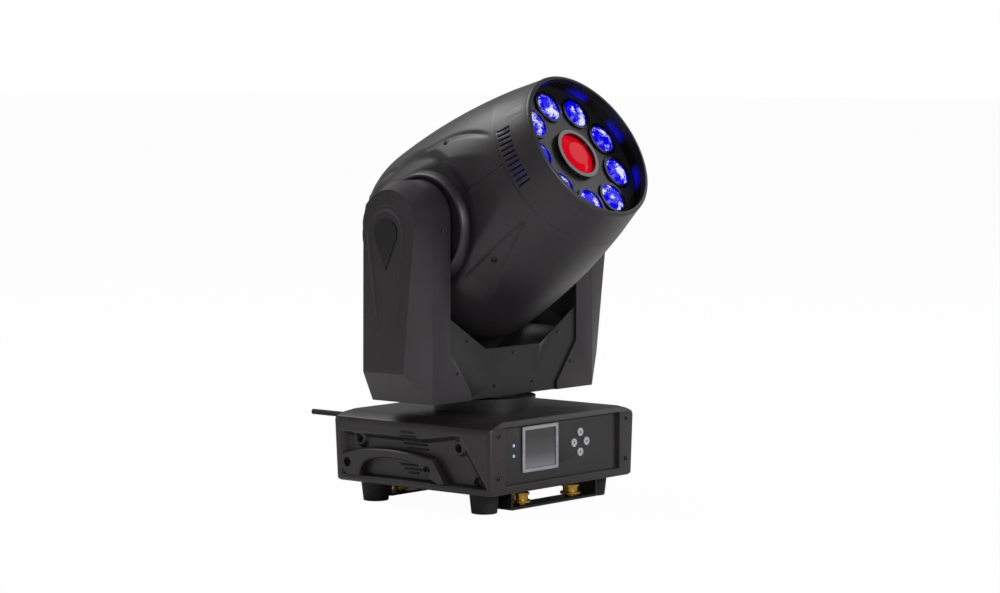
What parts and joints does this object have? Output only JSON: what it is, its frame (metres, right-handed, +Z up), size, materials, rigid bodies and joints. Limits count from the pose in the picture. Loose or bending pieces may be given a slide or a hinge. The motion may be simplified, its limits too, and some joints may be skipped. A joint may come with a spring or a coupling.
{
  "type": "moving head light",
  "caption": "Moving head stage light: a pan base with display and keys, a two-arm yoke, and a tilting head with a ring of wash lenses round a centre spot lens.",
  "frame": {"origin": "on the floor under the middle of the base, where the pan axis meets the plane of the feet", "axes": "+Z up along the pan axis, -Y towards the control panel, +X to the right seen from the front"},
  "size_m": [0.3864, 0.4217, 0.5377],
  "materials": {
    "charcoal": "fine moulded texture",
    "black_metal": "matt black powder coat",
    "steel": "galvanised",
    "screw_steel": "bright",
    "gold_zinc": "yellow passivated",
    "aluminium": "machined",
    "motor_steel": "satin",
    "board": "solder mask",
    "rubber": "matt",
    "black_plastic": "gloss",
    "silver_plastic": "satin",
    "display_glass": "clear over a dark display",
    "indicator": "clear blue",
    "blue_lens": "clear, lit blue",
    "lens_rim": "gloss",
    "red_lens": "clear, lit red",
    "filter_disc": "dichroic",
    "button": "light grey"
  },
  "bodies": {
    "base": {"base_plate": "steel", "base_shell": "charcoal", "side_handles": "charcoal", "rubber_feet": "rubber", "omega_brackets": "black_metal", "front_panel": "black_plastic", "display_bezel": "silver_plastic", "display_glass": "display_glass", "control_board": "board", "indicator_leds": "indicator", "rear_panel": "black_metal", "rear_sockets": "black_plastic", "power_supply": "motor_steel", "antenna_mount": "steel", "base_screws": "screw_steel", "pan_bridge": "steel", "pan_bearing": "screw_steel", "pan_belt": "rubber", "pan_motor": "motor_steel"},
    "antenna": {"antenna_mast": "rubber"},
    "pan_pinion": {"pan_pinion": "aluminium"},
    "yoke": {"pan_hub": "aluminium", "yoke_frame": "black_metal", "arm_cover_left": "charcoal", "arm_cover_right": "charcoal", "crossbar_plate_front": "black_metal", "crossbar_plate_rear": "black_metal", "arm_badges": "black_plastic", "tilt_bearings": "screw_steel", "tilt_motor": "motor_steel", "tilt_belt": "rubber", "yoke_screws": "screw_steel"},
    "tilt_pinion": {"tilt_pinion": "aluminium"},
    "head": {"head_chassis": "steel", "tilt_pulley": "aluminium", "head_shell_upper": "charcoal", "head_shell_lower": "charcoal", "head_screws": "screw_steel", "front_sleeve": "charcoal", "lens_plate": "black_plastic", "wash_lenses": "blue_lens", "lens_rims": "lens_rim", "centre_barrel": "black_plastic", "centre_lens": "red_lens", "led_boards": "board", "heat_sink": "aluminium", "rear_cap": "charcoal", "head_fan_frame": "black_plastic"},
    "focus": {"focus_carriage": "black_plastic"},
    "colour_wheel": {"colour_wheel": "filter_disc"},
    "gobo_wheel": {"gobo_wheel": "aluminium"},
    "fan": {"head_fan_rotor": "black_plastic"},
    "fastener_1": {"quarter_turn_1": "gold_zinc"},
    "fastener_2": {"quarter_turn_2": "gold_zinc"},
    "fastener_3": {"quarter_turn_3": "gold_zinc"},
    "fastener_4": {"quarter_turn_4": "gold_zinc"},
    "button_up": {"button_up": "button"},
    "button_down": {"button_down": "button"},
    "button_left": {"button_left": "button"},
    "button_right": {"button_right": "button"}
  },
  "joints": [
    {"name": "pan", "type": "hinge", "parent": "base", "child": "yoke", "pos_m": [0, 0, 0.1], "axis": [0, 0, 1], "range_deg": [-270, 270]},
    {"name": "pan_pinion_spin", "type": "hinge", "parent": "base", "child": "pan_pinion", "pos_m": [0.084, 0.012, 0.09], "axis": [0, 0, 1], "range_deg": [-1350, 1350]},
    {"name": "tilt", "type": "hinge", "parent": "yoke", "child": "head", "pos_m": [0, 0, 0.35], "axis": [1, 0, 0], "range_deg": [-168.5, 51.5]},
    {"name": "tilt_pinion_spin", "type": "hinge", "parent": "yoke", "child": "tilt_pinion", "pos_m": [-0.179, 0, 0.206], "axis": [1, 0, 0], "range_deg": [-505.5, 154.5]},
    {"name": "focus_travel", "type": "slide", "parent": "head", "child": "focus", "axis": [0, -0.8526, 0.5225], "range_m": [-0.02, 0.02]},
    {"name": "colour_spin", "type": "hinge", "parent": "head", "child": "colour_wheel", "pos_m": [0, 0.01589, 0.3989], "axis": [0, -0.8526, 0.5225], "continuous": true},
    {"name": "gobo_spin", "type": "hinge", "parent": "head", "child": "gobo_wheel", "pos_m": [0, 0.00737, 0.40413], "axis": [0, -0.8526, 0.5225], "continuous": true},
    {"name": "fan_spin", "type": "hinge", "parent": "head", "child": "fan", "pos_m": [0, 0.07247, 0.30559], "axis": [0, -0.8526, 0.5225], "continuous": true},
    {"name": "antenna_fold", "type": "hinge", "parent": "base", "child": "antenna", "pos_m": [-0.105, 0.1408, 0.1045], "axis": [1, 0, 0], "range_deg": [0, 90]},
    {"name": "fastener_turn_1", "type": "hinge", "parent": "base", "child": "fastener_1", "pos_m": [-0.05, -0.1, 0.02], "axis": [0, 0, 1], "range_deg": [0, 90]},
    {"name": "fastener_turn_2", "type": "hinge", "parent": "base", "child": "fastener_2", "pos_m": [-0.05, 0.1, 0.02], "axis": [0, 0, 1], "range_deg": [0, 90]},
    {"name": "fastener_turn_3", "type": "hinge", "parent": "base", "child": "fastener_3", "pos_m": [0.05, -0.1, 0.02], "axis": [0, 0, 1], "range_deg": [0, 90]},
    {"name": "fastener_turn_4", "type": "hinge", "parent": "base", "child": "fastener_4", "pos_m": [0.05, 0.1, 0.02], "axis": [0, 0, 1], "range_deg": [0, 90]},
    {"name": "press_up", "type": "slide", "parent": "base", "child": "button_up", "axis": [0, 1, 0], "range_m": [0, 0.0005], "stiffness_N_per_m": 1500},
    {"name": "press_down", "type": "slide", "parent": "base", "child": "button_down", "axis": [0, 1, 0], "range_m": [0, 0.0005], "stiffness_N_per_m": 1500},
    {"name": "press_left", "type": "slide", "parent": "base", "child": "button_left", "axis": [0, 1, 0], "range_m": [0, 0.0005], "stiffness_N_per_m": 1500},
    {"name": "press_right", "type": "slide", "parent": "base", "child": "button_right", "axis": [0, 1, 0], "range_m": [0, 0.0005], "stiffness_N_per_m": 1500}
  ],
  "couplings": [
    {"joint": "pan_pinion_spin", "follows": "pan", "ratio": 5},
    {"joint": "tilt_pinion_spin", "follows": "tilt", "ratio": 3}
  ]
}
